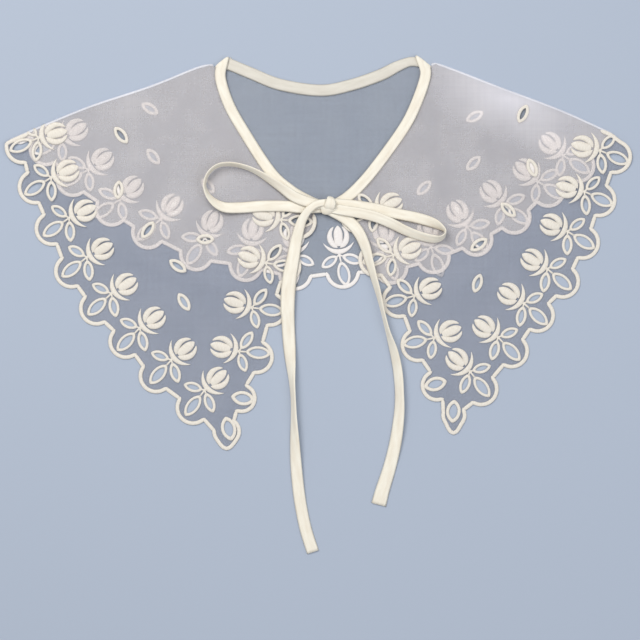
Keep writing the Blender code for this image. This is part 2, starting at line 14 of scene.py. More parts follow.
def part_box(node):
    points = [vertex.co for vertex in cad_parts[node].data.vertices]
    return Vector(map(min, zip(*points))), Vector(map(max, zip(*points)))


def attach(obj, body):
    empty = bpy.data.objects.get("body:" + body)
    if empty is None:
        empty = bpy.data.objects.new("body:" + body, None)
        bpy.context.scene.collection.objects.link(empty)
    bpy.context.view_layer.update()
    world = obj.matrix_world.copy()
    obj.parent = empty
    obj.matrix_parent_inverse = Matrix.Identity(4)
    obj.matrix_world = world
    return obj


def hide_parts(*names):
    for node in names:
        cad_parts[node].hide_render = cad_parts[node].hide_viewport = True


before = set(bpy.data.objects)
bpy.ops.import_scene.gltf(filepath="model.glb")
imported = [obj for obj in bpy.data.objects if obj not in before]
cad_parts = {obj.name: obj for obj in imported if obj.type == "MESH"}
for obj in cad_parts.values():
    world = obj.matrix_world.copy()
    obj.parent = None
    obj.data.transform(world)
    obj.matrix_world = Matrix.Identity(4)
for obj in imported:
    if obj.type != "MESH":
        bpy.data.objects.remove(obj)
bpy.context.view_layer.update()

mm = 0.001
knotMiddle = (6.2, 35.2)
knotLow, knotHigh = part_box("bow_knot")
shift = [(knotLow[k] + knotHigh[k]) / 2 / mm - knotMiddle[k] for k in range(2)]


def placed(point):
    # from the drawing's millimetres to the model's metres
    return (point[0] + shift[0]) * mm, (point[1] + shift[1]) * mm, point[2] * mm


# Lines and places on the drawing

def unit(vectors):
    return vectors / np.maximum(np.linalg.norm(vectors, axis=-1, keepdims=True), 1e-9)


def leftOf(vectors):
    return np.stack([-vectors[..., 1], vectors[..., 0]], axis=-1)


def turned(vector, degrees):
    c, s = math.cos(math.radians(degrees)), math.sin(math.radians(degrees))
    return np.array([vector[0] * c - vector[1] * s, vector[0] * s + vector[1] * c])


def reachAlong(line):
    # distance from the line's start to each of its points
    return np.concatenate([[0], np.cumsum(np.linalg.norm(np.diff(line, axis=0), axis=1))])


def evenLine(line, step=None, count=None):
    # the same line with evenly spaced points
    reach = reachAlong(line)
    count = count or max(2, round(reach[-1] / step)) + 1
    goals = np.linspace(0, reach[-1], count)
    return np.column_stack([np.interp(goals, reach, line[:, k]) for k in range(line.shape[1])])


def smoothLine(rows, step):
    # a Catmull-Rom curve through the rows
    rows = np.array(rows, float)
    rows = np.vstack([2 * rows[0] - rows[1], rows, 2 * rows[-1] - rows[-2]])
    u = np.linspace(0, 1, 24, endpoint=False)[:, None]
    dense = []
    for a, b, c, d in zip(rows, rows[1:], rows[2:], rows[3:]):
        square = (2 * a - 5 * b + 4 * c - d) * u**2
        cube = (3 * b - a - 3 * c + d) * u**3
        dense.append(0.5 * (2 * b + (c - a) * u + square + cube))
    return evenLine(np.vstack(dense + [rows[-2:-1]]), step)


def headings(line):
    # unit direction at each point
    ahead = np.vstack([line[1:], line[-1:]])
    behind = np.vstack([line[:1], line[:-1]])
    return unit(ahead - behind)


def movedLeft(line, distance):
    return line + leftOf(headings(line)) * distance


def nearestOn(line, points):
    # foot on the line, its direction there, and the distance with a plus on its left
    a = line[:-1][None]
    run = (line[1:] - line[:-1])[None]
    to = points[:, None] - a
    u = np.clip((to * run).sum(-1) / (run**2).sum(-1), 0, 1)
    feet = a + run * u[..., None]
    away = np.linalg.norm(points[:, None] - feet, axis=-1)
    best = away.argmin(axis=1)
    rows = np.arange(len(points))
    foot = feet[rows, best]
    along = unit(run[0][best])
    side = along[:, 0] * (points - foot)[:, 1] - along[:, 1] * (points - foot)[:, 0]
    return foot, along, np.where(side < 0, -1, 1) * away[rows, best]


def insideOf(outline, points):
    hit = np.zeros(len(points), bool)
    for a, b in zip(outline, np.roll(outline, -1, axis=0)):
        crosses = (a[1] > points[:, 1]) != (b[1] > points[:, 1])
        if a[1] != b[1]:
            hit ^= crosses & (points[:, 0] < a[0] + (points[:, 1] - a[1]) * (b[0] - a[0]) / (b[1] - a[1]))
    return hit


def signedArea(outline):
    after = np.roll(outline, -1, axis=0)
    return (outline[:, 0] * after[:, 1] - after[:, 0] * outline[:, 1]).sum() / 2


def ease(value):
    value = np.clip(value, 0, 1)
    return value * value * (3 - 2 * value)


# The cut of the cloth, as in the model's drawing

cloth = {
    "thickness": 0.22,      # sheer shell, drawn a little thicker than real organza
    "backHeight": 0.5,      # middle of the lower layer above the surface
    "layerRise": 1.3,       # from one layer to the next
    "gridStep": 3.6,
    "foldSteps": 6,
    "foldRunOn": 12.0,      # how far the line of a fold runs past its end
    "foldGap": 0.15,        # between the back's edge and the fold
    "holeEase": 0.6,        # how much larger than drawn a hole is under its rim
    "holeClear": 0.5,       # nearer to the edge or the fold than this, it stays closed
    "hemClear": 32.0,       # how far past the hem's stem crossings a front starts to drop
    "foldClear": 10.0,
    "dropLength": 14.0,
    "settleLength": 25.0,   # from a fold to where creases are at their full height
    "foldEdge": 0.8,        # how far in from the fold the cloth takes the fold look, paler with a painted highlight
    "creaseSway": 4.0,      # how far a crease wanders off its line
    "deepest": -0.35,       # a crease dips no further
    "lowest": 0.02,         # nothing lies lower than this
}

scallop = {"radius": 13.1, "halfTurn": 78.0, "steps": 15, "innerEnd": 35.0, "pointiness": 8}

leaves = {
    # distance and angle from the stems' crossing, cut-out's length and width, rim's length and width
    "big": (14.6, 10, 14, 6.2, 19.2, 9.8),
    "near": (9, -58, 9.8, 4, 14.6, 7.8),
    "far": (10.1, 69, 10.6, 4.2, 16, 8.2),
}

borders = {
    # per repeat: the stems' crossing, heading straight out, the scallop's middle;
    # outside is 1 to the right of the border's direction, leanBack counts repeats whose leaves lean back
    "left outer": {"outside": 1, "leanBack": 0, "rows": [
        (-210.8, 87, 194, -223.1, 80.2), (-201.4, 57.2, 202.4, -213.6, 50.1),
        (-188, 26.9, 204.4, -200.9, 19), (-174.8, -2.5, 208, -186.3, -12.9),
        (-156.4, -29.8, 212, -167.6, -40.7), (-135.2, -55.6, 215, -145.6, -65.7),
        (-111.5, -79.5, 218, -122.9, -91.5), (-86.5, -102.2, 222.5, -95.2, -115.2)]},
    "left inner": {"outside": 1, "leanBack": 0, "rows": [
        (-60.8, -73, -14, -47.7, -77.2), (-51, -40.3, -17, -37.3, -41.6), (-40.5, -6.8, -19, -27.1, -9.4),
        (-29.2, 25.5, -14, -15.7, 24.1)]},
    "right outer": {"outside": -1, "leanBack": 0, "rows": [
        (209.6, 77.5, -13, 220.7, 72.8), (198, 46.7, -14.5, 209.2, 40.5), (185.6, 16.9, -22, 196.9, 8.6),
        (170.4, -11.2, -30.5, 181.9, -20.6), (152.8, -37, -32, 163.1, -46.1),
        (133.5, -62.5, -36.5, 143.6, -72.8), (112.5, -88.1, -42.5, 120.8, -101.2)]},
    "right inner": {"outside": -1, "leanBack": 0, "rows": [
        (85.5, -63, 202, 73.5, -68.2), (70.6, -31.5, 204.5, 59.1, -35.2), (55.1, -1, 203, 41.9, -4.5),
        (41.2, 32.2, 204, 28.1, 28.5)]},
    "hem": {"outside": 1, "leanBack": 7, "rows": [
        (-193.5, 85.5, 214, -205.3, 78.7), (-173.6, 63, 217, -185.1, 55.6), (-150, 40.9, 224, -156, 33.4),
        (-119.2, 26.2, 231, -128.6, 16.3), (-86.2, 12, 246, -92.7, -0.1), (-52.5, 5.2, 261, -55.6, -8.1),
        (-18.8, -0.8, 275, -18.5, -14.4), (14.5, -0.8, 273.5, 17, -13.1), (49.5, 3, 278, 53.3, -10.1),
        (83.2, 5.2, 280, 85, -2.2), (110, 20.5, 301, 117, 10.9), (137.2, 37.1, 313, 145.5, 27.4),
        (163.1, 54.4, 319, 171, 47.6), (182.2, 73.9, 317, 193.4, 66)]},
}

pointLobes = {
    # x, y, radius, heading out, start and end angle, how much further the tip reaches
    "left point": (-70, -133, 10.8, -90, -90, 140, 0.33),
    "left lone leaf": (-58.7, -108.2, 11.2, -5, -100, 68, 0),
    "right point": (100.4, -121, 9.45, -92, -115, 100, 0.55),
    "right lone leaf": (87.6, -98.6, 12.1, 185, -100, 63, 0),
}

eyelets = {
    # x, y, angle, cut-out's length and width
    "left": [
        (-68.5, -131, -76, 12.5, 7), (-57.8, -108.2, -9, 12, 6.4), (-149, 89, -52, 10, 3.6),
        (-151, 48, 85, 9, 3.4), (-129, 18, 54, 10, 3.6), (-106.5, -9, -35, 10, 3.6),
        (-102, -36, -58, 10, 3.6), (-86, 11, 0, 8.6, 3.4)],
    "right": [
        (100, -118, 85, 11.6, 6.6), (86.5, -97.5, 15, 11.8, 6.4), (152, 105, 65, 9.6, 3.4),
        (159, 64.5, -68, 9.6, 3.4), (141, 33, -43, 9.6, 3.4), (119, 7, 35, 10, 3.6),
        (118, -22, 72, 9.6, 3.4)],
    "back": [
        (-127.5, 109, -32, 9.6, 3.4), (-125, 73, -51, 9.6, 3.4), (-84, 51, -50, 9, 3.4),
        (78, 49.5, 45, 9.6, 3.4), (116, 103, 28, 9.6, 3.4), (115, 68, 45, 9.6, 3.4)],
}

necks = {
    # centre lines of the binding, from the shoulder to the knot and across the back
    "left": [
        (-73.1, 142.9), (-74.6, 132), (-69, 113.6), (-59, 95), (-37.5, 62), (-22.5, 48), (-9, 40),
        (-1, 36.5)],
    "right": [
        (77, 143.4), (79, 133.5), (72, 112.5), (62.2, 93.4), (41.3, 64.5), (28.8, 50), (19.9, 42),
        (14, 38.2)],
    "back": [
        (-72.95, 142.7), (-69, 142.5), (-52.5, 135.8), (-30, 127), (0, 122.6), (22.5, 126.4), (45, 134),
        (58, 140.6), (68, 144.2), (76.8, 143.1)],
}

panels = {
    # shoulder fold from the neck outwards, its outside, where the first scallop starts,
    # and the stretch of fold that is corded before it
    "left": {
        "fold": smoothLine([(-80.2, 141.7), (-92, 139.5), (-127, 125.5), (-172, 110.5), (-210, 95),
                            (-232, 85.5)], 3),
        "outside": -1, "firstLobe": -32, "leadIn": [(-221.5, 90.1), (-228.5, 87.1), (-232.3, 85.4)],
    },
    "right": {
        "fold": smoothLine([(83.6, 142.3), (92, 141), (135, 124.5), (180, 107.5), (219, 90)], 3),
        "outside": 1, "firstLobe": -87.5, "leadIn": [(213, 92.7), (216.5, 91.2), (219.2, 89.9)],
    },
}
for panel in panels.values():
    lastTwo = panel["fold"][-2:]
    runOn = lastTwo[1] + unit(lastTwo[1] - lastTwo[0]) * cloth["foldRunOn"]
    panel["foldLine"] = np.vstack([panel["fold"], runOn])
# the back's corners at the neck, and its edge round the end of the left fold
backCorners = [(-80.6, 141.1), (84.4, 141.4)]
backFoldEnd = [(-230.8, 85.4), (-229, 82.8), (-224, 82.2), (-219.5, 84.3)]

# Soft creases: x, y, heading, half length, half width, height
creases = {
    "left": [
        (-128, 62, 68, 60, 9, 0.45), (-104, 40, 60, 42, 7, -0.4), (-170, 40, 78, 46, 10, -0.35),
        (-70, 20, 48, 40, 8, 0.35), (-110, -52, 120, 40, 9, 0.4), (-75, -70, 102, 34, 7, -0.35),
        (-60, 96, 58, 30, 6, 0.3)],
    "right": [
        (120, 70, 118, 55, 9, 0.4), (92, 60, 122, 46, 7, -0.4), (165, 60, 100, 40, 9, 0.35),
        (135, -30, 62, 44, 9, 0.4), (100, -40, 78, 34, 7, -0.35), (60, 104, 115, 26, 6, 0.3)],
    "back": [
        (-20, 90, 30, 40, 9, 0.3), (22, 84, 150, 36, 8, -0.3), (0, 40, 5, 50, 8, 0.25),
        (-120, 60, 40, 60, 12, 0.3), (120, 60, 140, 60, 12, 0.3)],
}


def borderRepeats(name):
    # each repeat: crossing, outward way and hand of its leaves, then middle, outward way and direction
    # of its scallop
    border = borders[name]
    middles = np.array(border["rows"])[:, 3:]
    repeats = []
    for k, (row, along) in enumerate(zip(border["rows"], headings(middles))):
        hand = -border["outside"] if k < border["leanBack"] else border["outside"]
        outward = turned((1.0, 0.0), row[2])
        out = -leftOf(along) * border["outside"]
        repeats.append((np.array(row[:2]), outward, hand, middles[k], out, along))
    return repeats


def scallopLobe(repeat, start=-scallop["halfTurn"], end=scallop["halfTurn"]):
    middle, out, along = repeat[3:]
    angles = np.radians(np.linspace(start, end, scallop["steps"] + 1))[:, None]
    return middle + (out * np.cos(angles) + along * np.sin(angles)) * scallop["radius"]


def pointLobe(name, turn):
    x, y, radius, heading, start, end, sharp = pointLobes[name]
    angles = np.linspace(start, end, scallop["steps"] + 1)
    reach = radius * (1 + sharp * np.clip(np.cos(np.radians(angles)), 0, 1) ** scallop["pointiness"])
    ways = np.radians(heading + turn * angles)
    return np.column_stack([x + reach * np.cos(ways), y + reach * np.sin(ways)])


def leafLoop(centre, heading, length, width, count=20):
    # a pointed oval, more points where it bends most
    around = np.linspace(0, 2 * math.pi, count, endpoint=False)
    across = np.sign(np.sin(around)) * np.abs(np.sin(around)) ** 1.4
    forward = turned((1.0, 0.0), heading)
    lengthwise = np.outer(np.cos(around) * length / 2, forward)
    return centre + lengthwise + np.outer(across * width / 2, leftOf(forward))


def motifLeaves(repeat):
    crossing, outward, hand = repeat[:3]
    for distance, angle, length, width, rimLength, rimWidth in leaves.values():
        way = turned(outward, angle * hand)
        heading = math.degrees(math.atan2(way[1], way[0]))
        yield crossing + way * distance, heading, length, width, rimLength, rimWidth


def foldRows(panel):
    # lines over the cloth that turns round the shoulder fold
    turn = math.pi * cloth["layerRise"] / 2
    steps = np.linspace(0, turn, cloth["foldSteps"] + 1)
    return [movedLeft(panel["fold"], panel["outside"] * step) for step in steps]


def frontLobes(side):
    turn = 1 if side == "left" else -1
    outer, inner = borderRepeats(side + " outer"), borderRepeats(side + " inner")
    lobes = [scallopLobe(outer[0], start=panels[side]["firstLobe"])]
    lobes += [scallopLobe(r) for r in outer[1:]]
    lobes += [pointLobe(side + " point", turn), pointLobe(side + " lone leaf", turn)]
    lobes += [scallopLobe(r) for r in inner[:-1]]
    lobes.append(scallopLobe(inner[-1], end=scallop["innerEnd"]))
    return lobes, outer + inner


tapes = {
    "width": 8.2,
    "backWidth": 8.8,
    "thickness": 1.4,
    "bindingThickness": 1.6,
    "step": 2.4,
    "edgeCover": 1.2,       # how far the tape covers the cloth's edge
    "edgeStep": 3.0,
    # how the fold runs at each shoulder
    "shoulderWays": {"left": (0.78, 0.626), "right": (-0.79, 0.613)},
    "foldSpread": 1.3,      # longer along the fold than straight across
    "foldRise": 0.9,        # higher at the fold than further down
    "fallLength": 30.0,     # from there down to the cloth
    "turnLength": 9.0,      # from the fold's slant to straight across
    "leanStart": 50.0,      # where the back's tape starts to lean over, towards the right shoulder
    "leanLength": 18.0,
    "leanShare": 0.2,
    "groove": 0.28,         # depth of the line along the fold
    "tailGroove": 0.75,
}


def neckEdge(name, side, low, high, axis):
    line = smoothLine(necks[name], tapes["edgeStep"])
    line = movedLeft(line, side * (tapes["width"] / 2 - tapes["edgeCover"]))
    return line[(line[:, axis] > low) & (line[:, axis] < high)]


def frontCut(side):
    panel = panels[side]
    rows = foldRows(panel)
    lobes, repeats = frontLobes(side)
    neck = neckEdge(side, panel["outside"], low=35.5, high=panel["fold"][0][1] - 2.0, axis=1)
    ends = np.array([row[-1] for row in rows[-2::-1]])
    starts = np.array([row[0] for row in rows[:-1]])
    outline = np.vstack([rows[-1], ends] + lobes + [neck[::-1], starts])
    lines = rows[:-1] + [movedLeft(panel["fold"], -panel["outside"] * cloth["foldEdge"])[2:-1]]
    return outline, lines, lobes, repeats


def backCut():
    left = movedLeft(panels["left"]["fold"], cloth["foldGap"])[1:-1]
    right = movedLeft(panels["right"]["fold"], -cloth["foldGap"])[1:]
    neck = neckEdge("back", -1, low=-76.0, high=80.0, axis=0)
    repeats = borderRepeats("hem")
    lobes = [scallopLobe(r) for r in repeats]
    leftCorner, rightCorner = backCorners
    outline = np.vstack([leftCorner, left, backFoldEnd] + lobes + [right[::-1], rightCorner, neck[::-1]])
    return outline, [], lobes, repeats


# From the drawing to the laid form

def creaseHeight(name, flat):
    height = np.zeros(len(flat))
    for x, y, heading, halfLength, halfWidth, rise in creases[name]:
        way = turned((1.0, 0.0), heading)
        to = flat - np.array([x, y])
        along, across = to @ way, to @ leftOf(way)
        across = across + cloth["creaseSway"] * np.sin(along / halfLength * 2.0)
        height += rise * np.exp(-(across / halfWidth) ** 2 - (along / halfLength) ** 4)
    return np.maximum(height, cloth["deepest"])


hemLine = smoothLine([row[:2] for row in borders["hem"]["rows"]], 4.0)


def setOut(name, flat, lift):
    # from the flat drawing to millimetres in space; a front rolls round its shoulder fold
    lift = np.broadcast_to(lift, len(flat))
    base = cloth["backHeight"]
    if name == "back":
        return np.column_stack([flat, np.maximum(base + creaseHeight(name, flat) + lift, cloth["lowest"])])
    panel = panels[name]
    foot, along, away = nearestOn(panel["foldLine"], flat)
    beyond = away * panel["outside"]
    pastHem = -nearestOn(hemLine, flat)[2]
    low = np.minimum(ease((pastHem - cloth["hemClear"]) / cloth["dropLength"]),
                     ease((-beyond - cloth["foldClear"]) / cloth["dropLength"]))
    settled = ease(-beyond / cloth["settleLength"])
    level = base + cloth["layerRise"] * (1 - low) + creaseHeight(name, flat) * settled + lift
    middle = cloth["layerRise"] / 2
    turn = np.clip(beyond / middle, 0, math.pi)
    under = np.maximum(0, beyond - middle * math.pi)
    out = leftOf(along) * panel["outside"]
    radius = middle + lift
    rolled = foot + out * (radius * np.sin(turn) - under)[:, None]
    past = beyond > 1e-3
    spot = np.where(past[:, None], rolled, flat)
    height = np.where(past, base + middle + radius * np.cos(turn), level)
    return np.column_stack([spot, np.maximum(height, cloth["lowest"])])


def tubeFaces(count, size, closed=False):
    # faces of a tube of count rings with size points each, capped or closed on itself
    faces = []
    for k in range(count if closed else count - 1):
        for j in range(size):
            a, b = k * size + j, k * size + (j + 1) % size
            faces.append((a, b, (b + size) % (count * size), (a + size) % (count * size)))
    if not closed:
        faces.append(tuple(range(size))[::-1])
        faces.append(tuple(range((count - 1) * size, count * size)))
    return faces


def makeMesh(name, points, faces, uvs, faceSlots=None):
    mesh = bpy.data.meshes.new(name)
    mesh.from_pydata([placed(p) for p in points], [], faces)
    mesh.validate()
    layer = mesh.uv_layers.new(name="thread")
    for loop in mesh.loops:
        layer.data[loop.index].uv = uvs[loop.vertex_index]
    if faceSlots is not None:
        mesh.polygons.foreach_set("material_index", faceSlots)
    mesh.shade_smooth()
    mesh.update()
    piece = bpy.data.objects.new(name, mesh)
    bpy.context.scene.collection.objects.link(piece)
    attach(piece, "root")
    return piece


def clothPiece(name, panelName, cut, holes, doubled=None):
    # a thin closed shell of the cut, with its holes open
    outline, rows = cut
    loops = [outline if signedArea(outline) > 0 else outline[::-1]] + holes
    verts, faces, edges = [], [], []
    for loop in loops:
        faces.append(list(range(len(verts), len(verts) + len(loop))))
        verts.extend(loop)
    for row in rows + ([doubled] if doubled is not None else []):
        edges.extend((len(verts) + k, len(verts) + k + 1) for k in range(len(row) - 1))
        verts.extend(row)
    tree = KDTree(len(verts))
    for k, v in enumerate(verts):
        tree.insert((v[0], v[1], 0), k)
    tree.balance()
    low, high = outline.min(axis=0), outline.max(axis=0)
    step = cloth["gridStep"]
    for row, y in enumerate(np.arange(low[1], high[1], step * 0.87)):
        for x in np.arange(low[0] + (row % 2) * step / 2, high[0], step):
            if tree.find((x, y, 0))[2] > step * 0.5:
                verts.append((x, y))
    points, _, triangles, _, _, sources = delaunay_2d_cdt([tuple(v) for v in verts], edges, faces, 1, 1e-4)
    kept = [t for t, source in zip(triangles, sources) if list(source) == [0]]
    used = sorted({k for t in kept for k in t})
    place = {k: n for n, k in enumerate(used)}
    flat = np.array([points[k][:] for k in used])
    half = cloth["thickness"] / 2
    top, bottom = setOut(panelName, flat, half), setOut(panelName, flat, -half)
    polygons, slots, border = [], [], {}
    centres = np.array([flat[[place[k] for k in t]].mean(axis=0) for t in kept])
    kind = np.zeros(len(kept), int)
    if doubled is not None:
        panel = panels[panelName]
        kind[insideOf(doubled, centres)] = 1
        # faces at the fold take the fold look: denser, and paler with a painted highlight
        kind[nearestOn(panel["foldLine"], centres)[2] * panel["outside"] > -cloth["foldEdge"]] = 2
    for triangle, slot in zip(kept, kind):
        a, b, c = (place[k] for k in triangle)
        polygons += [(a, b, c), (c + len(used), b + len(used), a + len(used))]
        slots += [int(slot)] * 2
        for edge in ((a, b), (b, c), (c, a)):
            border[edge] = int(slot)
    for (a, b), slot in border.items():
        if (b, a) not in border:
            polygons.append((b, a, a + len(used), b + len(used)))
            slots.append(slot)
    uvs = np.vstack([flat, flat])
    piece = makeMesh(name, np.vstack([top, bottom]), polygons, uvs, slots)
    total = 0.5 * sum(abs(np.cross(flat[place[b]] - flat[place[a]], flat[place[c]] - flat[place[a]]))
                      for a, b, c in kept)
    return piece, total


# Stitching: rounded ridges of satin stitch that follow the cloth

ridgeForm = {"over": 7, "under": 5, "fullness": 0.8, "below": 0.55}


class Stitches:
    def __init__(self):
        self.flat, self.lift, self.uvs, self.faces = [], [], [], []

    def ridge(self, centres, sides, rise, closed=False):
        # a ridge along centres, as wide as sides, rise above the cloth and a little below it
        centres, sides = np.asarray(centres, float), np.asarray(sides, float)
        rise = np.broadcast_to(rise, len(centres))
        over = np.linspace(0, math.pi, ridgeForm["over"])
        under = np.linspace(math.pi, 2 * math.pi, ridgeForm["under"])[1:-1]
        ring = np.concatenate([over, under])
        bulge = np.abs(np.sin(ring))
        high = np.where(np.sin(ring) > 0, bulge ** ridgeForm["fullness"], -ridgeForm["below"] * bulge)
        count, size = len(centres), len(ring)
        flat = centres[:, None] + sides[:, None] * np.cos(ring)[None, :, None]
        lift = rise[:, None] * high[None]
        reach = reachAlong(centres)
        width = np.linalg.norm(sides, axis=1)
        lengthwise = np.broadcast_to(reach[:, None], (count, size))
        uv = np.stack([lengthwise, width[:, None] * np.cos(ring)[None]], -1).reshape(-1, 2)
        base = sum(len(part) for part in self.flat)
        faces = tubeFaces(count, size, closed)
        if np.cross(headings(centres), sides).sum() > 0:
            faces = [face[::-1] for face in faces]
        self.faces += [tuple(base + k for k in face) for face in faces]
        self.flat.append(flat.reshape(-1, 2))
        self.lift.append(lift.reshape(-1))
        self.uvs.append(uv)

    def stroke(self, line, halfWidths, rise):
        # a ridge of changing width along a line
        sides = leftOf(headings(line)) * np.asarray(halfWidths)[:, None]
        shape = np.clip(np.asarray(halfWidths) / max(halfWidths), 0.25, 1)
        self.ridge(line, sides, rise * shape)

    def rim(self, centre, heading, length, width, rimLength, rimWidth, rise):
        # the bound edge of a cut-out leaf
        inner = leafLoop(centre, heading, length - motif["rimTuck"], width - motif["rimTuck"])
        outer = leafLoop(centre, heading, rimLength, rimWidth)
        self.ridge((inner + outer) / 2, (outer - inner) / 2, rise, closed=True)

    def piece(self, name, panelName):
        flat, lift = np.vstack(self.flat), np.concatenate(self.lift)
        return makeMesh(name, setOut(panelName, flat, lift), self.faces, np.vstack(self.uvs))


motif = {
    "budIn": 13.5,          # bud's middle, inward from the stems' crossing
    "thinnest": 0.12,
    "petalRise": 0.95,
    "rimRise": 0.5,
    "cordRise": 0.6,
    "cordHalf": 1.5,
    "cordOut": 0.15,        # how far it stands out past the cloth's edge
    "cordStep": 1.4,
    "spike": 2.6,           # how far a lobe's cord runs past its end
    "shortestFlat": 1.2,    # between two lobes; a shorter one gets no cord of its own
    "flatStep": 1.6,
    "flatRunOn": 1.5,
    "budScale": 1.08,
    "stemHalf": 0.7,
    # start from the bud's middle, end past the crossing, half widths
    "stem": (10.8, 0.9, [0.7, 0.8, 0.9, 1.1, 0.9]),
    "calyx": {"halfTurn": 70, "steps": 22, "radius": 11.0, "flare": 1.2, "half": 1.9, "rise": 0.76},
    "rimTuck": 0.4,         # how far a rim reaches into its hole
    # a lone leaf's rim: this share of its length and that much more, more than its width
    "eyeletRim": (1.25, 3.0, 4.6),
    # across, inward from the bud's middle, half width
    "middlePetal": [(0, -6.4, 1.3), (0, -4.8, 2.4), (0, -2.6, 3.0), (0, 0.4, 3.3), (0, 2.8, 3.2),
                    (0, 5.2, 2.5), (0, 7.0, 1.3), (0, 7.9, 0.3)],
    "sidePetal": [(0.9, -7.4, 0.3), (3.2, -5.7, 1.7), (5.1, -3.0, 2.1), (5.95, 0.2, 1.95), (5.5, 3.3, 1.45),
                  (4.3, 5.6, 1.0), (2.9, 7.2, 0.25)],
}


def motifStitches(stitches, repeat):
    crossing, outward, hand = repeat[:3]
    lean = turned(outward, 90 * hand)
    middle = crossing - outward * motif["budIn"]

    def local(rows, mirror=1):
        rows = smoothLine(rows, 0.8) * motif["budScale"]
        line = middle + np.outer(rows[:, 0] * mirror, lean) - np.outer(rows[:, 1], outward)
        return line, np.maximum(rows[:, 2], motif["thinnest"])

    stitches.stroke(*local(motif["middlePetal"]), motif["petalRise"])
    for mirror in (1, -1):
        stitches.stroke(*local(motif["sidePetal"], mirror), motif["petalRise"])
    # calyx: a crescent under the bud with curling points
    calyx = motif["calyx"]
    angles = np.radians(np.linspace(-calyx["halfTurn"], calyx["halfTurn"], calyx["steps"] + 1))
    spread = np.abs(angles) / angles.max()
    radius = calyx["radius"] + calyx["flare"] * spread**3
    line = middle + np.outer(radius * np.cos(angles), outward) + np.outer(radius * np.sin(angles), lean)
    stitches.stroke(line, motif["thinnest"] + calyx["half"] * (1 - spread**1.6), calyx["rise"])
    start, end, halves = motif["stem"]
    line = np.linspace(middle + outward * start, crossing + outward * end, len(halves))
    stitches.stroke(line, halves, motif["rimRise"])
    for centre, heading, length, width, rimLength, rimWidth in motifLeaves(repeat):
        stitches.rim(centre, heading, length, width, rimLength, rimWidth, motif["rimRise"])
        tip = centre - unit(centre - crossing) * (rimLength / 2 - 0.9)
        if np.linalg.norm(tip - crossing) > 1.0:
            stalk = evenLine(np.array([crossing, tip]), count=4)
            stitches.stroke(stalk, [motif["stemHalf"]] * 4, motif["rimRise"])


def edgeStitches(stitches, lobes, leadIn, inwardSide):
    # a satin cord along each lobe, its ends run on as small spikes, and along the flats between
    inset, step = motif["cordHalf"] - motif["cordOut"], motif["cordStep"]
    lines = [np.vstack([leadIn, lobes[0]])] + lobes[1:]
    runOns = [motif["spike"]] * len(lines)
    for one, other in zip(lobes, lobes[1:]):
        gap = np.array([one[-1], other[0]])
        if np.linalg.norm(gap[1] - gap[0]) > motif["shortestFlat"]:
            lines.append(evenLine(gap, step=motif["flatStep"]))
            runOns.append(motif["flatRunOn"])
    for line, runOn in zip(lines, runOns):
        line = movedLeft(line, inwardSide * inset)
        first = line[0] + unit(line[0] - line[1]) * runOn
        last = line[-1] + unit(line[-1] - line[-2]) * runOn
        whole = evenLine(np.vstack([first, line, last]), step=step)
        reach = np.linspace(0, 1, len(whole)) * len(whole) * step
        ends = np.minimum(reach, reach[::-1])
        taper = np.clip(0.15 + 1.1 * ends / motif["spike"], 0, 1)
        stitches.stroke(whole, motif["cordHalf"] * taper, motif["cordRise"])


def allHoles(rows, repeats):
    found = [leaf[:4] for repeat in repeats for leaf in motifLeaves(repeat)]
    found += [(np.array([x, y]), angle, length, width) for x, y, angle, length, width in rows]
    more = cloth["holeEase"]
    return [leafLoop(spot, angle, length + more, width + more) for spot, angle, length, width in found]


def holesThatFit(outline, holes, fold=None):
    # a hole that the edge or the fold would cut stays closed
    ring = np.vstack([outline, outline[:1]])
    kept = []
    for loop in holes:
        near = np.abs(nearestOn(ring, loop)[2]).min()
        if fold is not None:
            near = min(near, np.abs(nearestOn(fold, loop)[2]).min())
        if near > cloth["holeClear"] and insideOf(outline, loop).all():
            kept.append(loop)
    return kept


def embroider(name, panelName, outline, lobes, leadIn, repeats, rows):
    stitches = Stitches()
    edgeStitches(stitches, lobes, leadIn, 1 if signedArea(outline) > 0 else -1)
    for repeat in repeats:
        motifStitches(stitches, repeat)
    share, more, wider = motif["eyeletRim"]
    for x, y, angle, length, width in rows:
        middle = np.array([x, y])
        stitches.rim(middle, angle, length, width, length * share + more, width + wider, motif["rimRise"])
    return stitches.piece(name, panelName)


# Materials

def colour(hexText):
    parts = [int(hexText[k:k + 2], 16) / 255 for k in (1, 3, 5)]
    return (*[p / 12.92 if p <= 0.04045 else ((p + 0.055) / 1.055) ** 2.4 for p in parts], 1.0)


def newMaterial(name, settings):
    material = bpy.data.materials.new(name)
    material.use_nodes = True
    shader = material.node_tree.nodes["Principled BSDF"]
    for key, value in settings.items():
        shader.inputs[key].default_value = value
    return material, shader


def add(material, kind, settings=None, links=None):
    # adds a node, sets its values and feeds its inputs
    made = material.node_tree.nodes.new("ShaderNode" + kind)
    for key, value in (settings or {}).items():
        if isinstance(key, int) or key in made.inputs:
            made.inputs[key].default_value = value
        else:
            setattr(made, key, value)
    for key, source in (links or {}).items():
        join(material, source, made.inputs[key])
    return made


def join(material, source, target):
    # a node feeds its first output
    material.node_tree.links.new(getattr(source, "outputs", [source])[0], target)


def threadWaves(material, uv, turn, period, distortion, detail):
    # bands on the thread map, a period apart; at scale 1 the texture has 3.2 of them to a millimetre
    ways = add(material, "Mapping", {"Rotation": (0, 0, math.radians(turn))}, {"Vector": uv})
    wave = add(material, "TexWave",
               {"Scale": 1 / period / 3.2, "Distortion": distortion, "Detail": detail}, {"Vector": ways})
    return ways, wave.outputs["Fac"]


